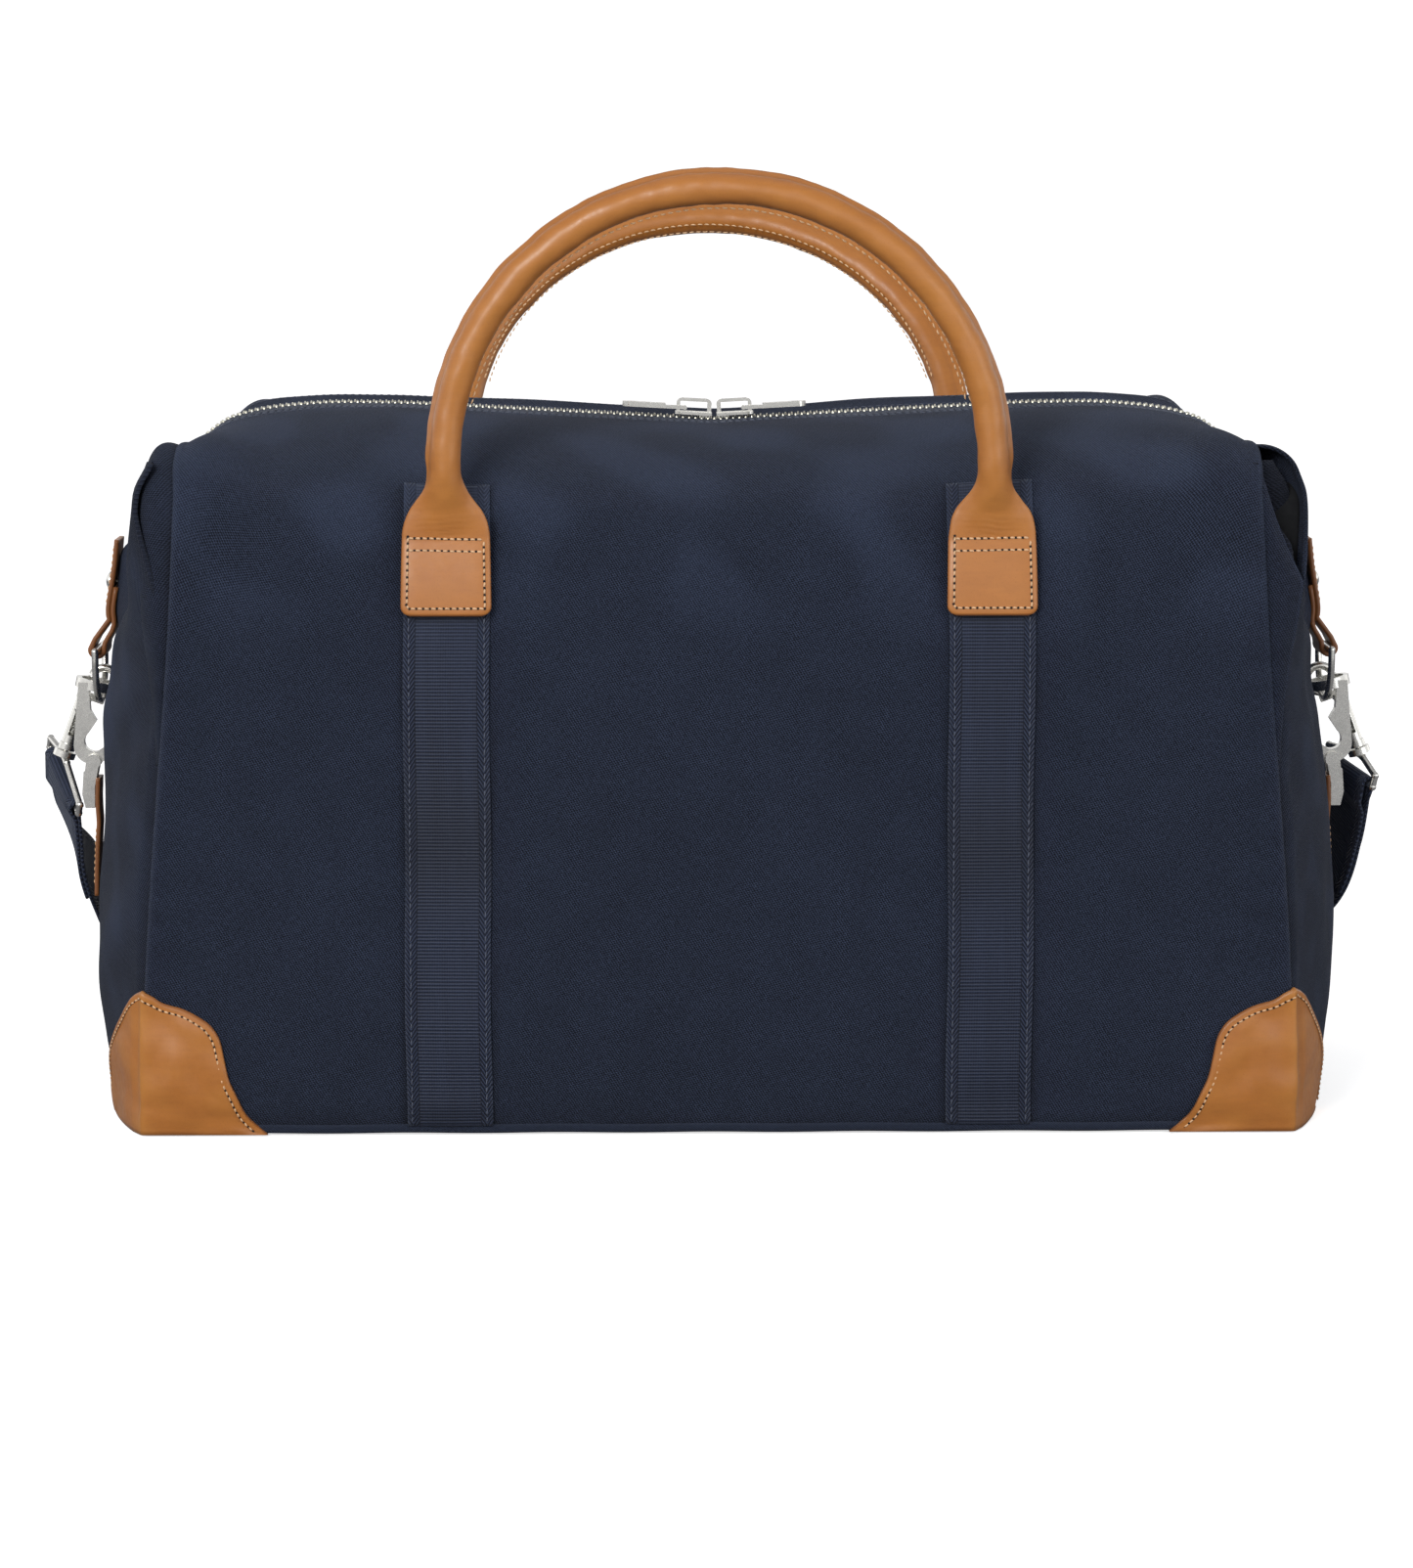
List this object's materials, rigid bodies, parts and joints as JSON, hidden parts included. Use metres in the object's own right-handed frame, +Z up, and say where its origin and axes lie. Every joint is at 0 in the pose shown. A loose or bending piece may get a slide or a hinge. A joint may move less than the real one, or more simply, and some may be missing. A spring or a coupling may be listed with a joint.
{
  "type": "weekender bag",
  "caption": "Soft canvas weekender bag with a top zip, rolled leather handles, leather corners, end clasps and a clip-on shoulder strap.",
  "frame": {"origin": "middle of the flat base, on the floor", "axes": "+Z up, +X along the bag towards its right end as seen from the front, -Y towards the front face"},
  "size_m": [0.63, 0.3288, 0.425],
  "materials": {
    "canvas": "navy cotton canvas, fine 2/1 weave, matte",
    "lining": "plain cotton lining, matte",
    "board": "compressed fibre base board, matte",
    "webbing": "navy ribbed webbing with herringbone edges, soft sheen",
    "leather": "smooth tan vegetable-tanned leather, satin, contrast stitching",
    "rope": "cotton rope, matte",
    "nickel": "satin nickel plate",
    "zip_metal": "bright nickel teeth",
    "spring_steel": "drawn wire"
  },
  "bodies": {
    "bag": {"front_panel": "canvas", "back_panel": "canvas", "bottom_panel": "canvas", "gusset_left": "canvas", "gusset_right": "canvas", "lining": "lining", "base_board": "board", "web_front_left": "webbing", "web_front_right": "webbing", "web_back_left": "webbing", "web_back_right": "webbing", "corner_front_left": "leather", "corner_front_right": "leather", "corner_back_left": "leather", "corner_back_right": "leather", "zip_tape_front": "canvas", "zip_tape_back": "canvas", "zip_teeth_front": "zip_metal", "zip_teeth_back": "zip_metal", "zip_stops": "nickel", "paddle_front_left": "leather", "paddle_front_right": "leather", "paddle_back_left": "leather", "paddle_back_right": "leather", "end_tab_left": "leather", "end_tab_right": "leather", "rivet_left": "nickel", "rivet_right": "nickel", "clasp_left": "nickel", "clasp_right": "nickel", "clasp_tab_left": "leather", "clasp_tab_right": "leather"},
    "handle_front": {"grip_front": "leather", "core_front": "rope"},
    "handle_back": {"grip_back": "leather", "core_back": "rope"},
    "slider_left": {"slider_left": "nickel"},
    "pull_left": {"pull_left": "nickel"},
    "slider_right": {"slider_right": "nickel"},
    "pull_right": {"pull_right": "nickel"},
    "ring_left": {"d_ring_left": "nickel"},
    "lever_left": {"clasp_lever_left": "nickel"},
    "ring_right": {"d_ring_right": "nickel"},
    "lever_right": {"clasp_lever_right": "nickel"},
    "strap": {"strap_webbing": "webbing", "snap_eye_left": "nickel", "snap_eye_right": "nickel"},
    "snap_left": {"snap_body_left": "nickel", "snap_spring_left": "spring_steel"},
    "bolt_left": {"snap_bolt_left": "nickel"},
    "snap_right": {"snap_body_right": "nickel", "snap_spring_right": "spring_steel"},
    "bolt_right": {"snap_bolt_right": "nickel"},
    "adjuster": {"strap_adjuster": "nickel"}
  },
  "joints": [
    {"name": "handle_front_swing", "type": "hinge", "parent": "bag", "child": "handle_front", "pos_m": [0, -0.126, 0.296], "axis": [1, 0, 0], "range_deg": [-50, 135]},
    {"name": "handle_back_swing", "type": "hinge", "parent": "bag", "child": "handle_back", "pos_m": [0, 0.126, 0.296], "axis": [-1, 0, 0], "range_deg": [-81, 104]},
    {"name": "slider_left_slide", "type": "slide", "parent": "bag", "child": "slider_left", "axis": [-0.9986, 0, 0.053], "range_m": [0, 0.135]},
    {"name": "pull_left_flip", "type": "hinge", "parent": "slider_left", "child": "pull_left", "pos_m": [-0.01358, 0, 0.31643], "axis": [0, 1, 0], "range_deg": [0, 110]},
    {"name": "slider_right_slide", "type": "slide", "parent": "bag", "child": "slider_right", "axis": [0.9986, 0, 0.053], "range_m": [0, 0.135]},
    {"name": "pull_right_flip", "type": "hinge", "parent": "slider_right", "child": "pull_right", "pos_m": [0.01358, 0, 0.31643], "axis": [0, -1, 0], "range_deg": [0, 110]},
    {"name": "d_ring_left_tilt", "type": "hinge", "parent": "bag", "child": "ring_left", "pos_m": [-0.2864, 0, 0.205], "axis": [0, 1, 0], "range_deg": [-3, 4]},
    {"name": "clasp_lever_left_open", "type": "hinge", "parent": "bag", "child": "lever_left", "pos_m": [-0.2891, -0.007, 0.1527], "axis": [0, 1, 0], "range_deg": [0, 45]},
    {"name": "d_ring_right_tilt", "type": "hinge", "parent": "bag", "child": "ring_right", "pos_m": [0.2864, 0, 0.205], "axis": [0, -1, 0], "range_deg": [-3, 4]},
    {"name": "clasp_lever_right_open", "type": "hinge", "parent": "bag", "child": "lever_right", "pos_m": [0.2891, -0.007, 0.1527], "axis": [0, -1, 0], "range_deg": [0, 45]},
    {"name": "strap_swing", "type": "hinge", "parent": "bag", "child": "strap", "pos_m": [0, 0, 0.201], "axis": [1, 0, 0], "range_deg": [0, 24]},
    {"name": "snap_left_swivel", "type": "hinge", "parent": "strap", "child": "snap_left", "pos_m": [-0.30395, 0.0145, 0.15777], "axis": [-0.342, 0, -0.9397], "range_deg": [-5, 1]},
    {"name": "snap_left_bolt", "type": "slide", "parent": "snap_left", "child": "bolt_left", "axis": [-0.342, 0, -0.9397], "range_m": [0, 0.008], "stiffness_N_per_m": 250, "springref_m": -0.004, "deforming": ["snap_spring_left"]},
    {"name": "snap_right_swivel", "type": "hinge", "parent": "strap", "child": "snap_right", "pos_m": [0.30395, 0.0145, 0.15777], "axis": [0.342, 0, -0.9397], "range_deg": [-1, 5]},
    {"name": "snap_right_bolt", "type": "slide", "parent": "snap_right", "child": "bolt_right", "axis": [0.342, 0, -0.9397], "range_m": [0, 0.008], "stiffness_N_per_m": 250, "springref_m": -0.004, "deforming": ["snap_spring_right"]},
    {"name": "adjuster_slide", "type": "slide", "parent": "strap", "child": "adjuster", "axis": [-0.2767, 0.8301, -0.4842], "range_m": [-0.006, 0.008]}
  ]
}
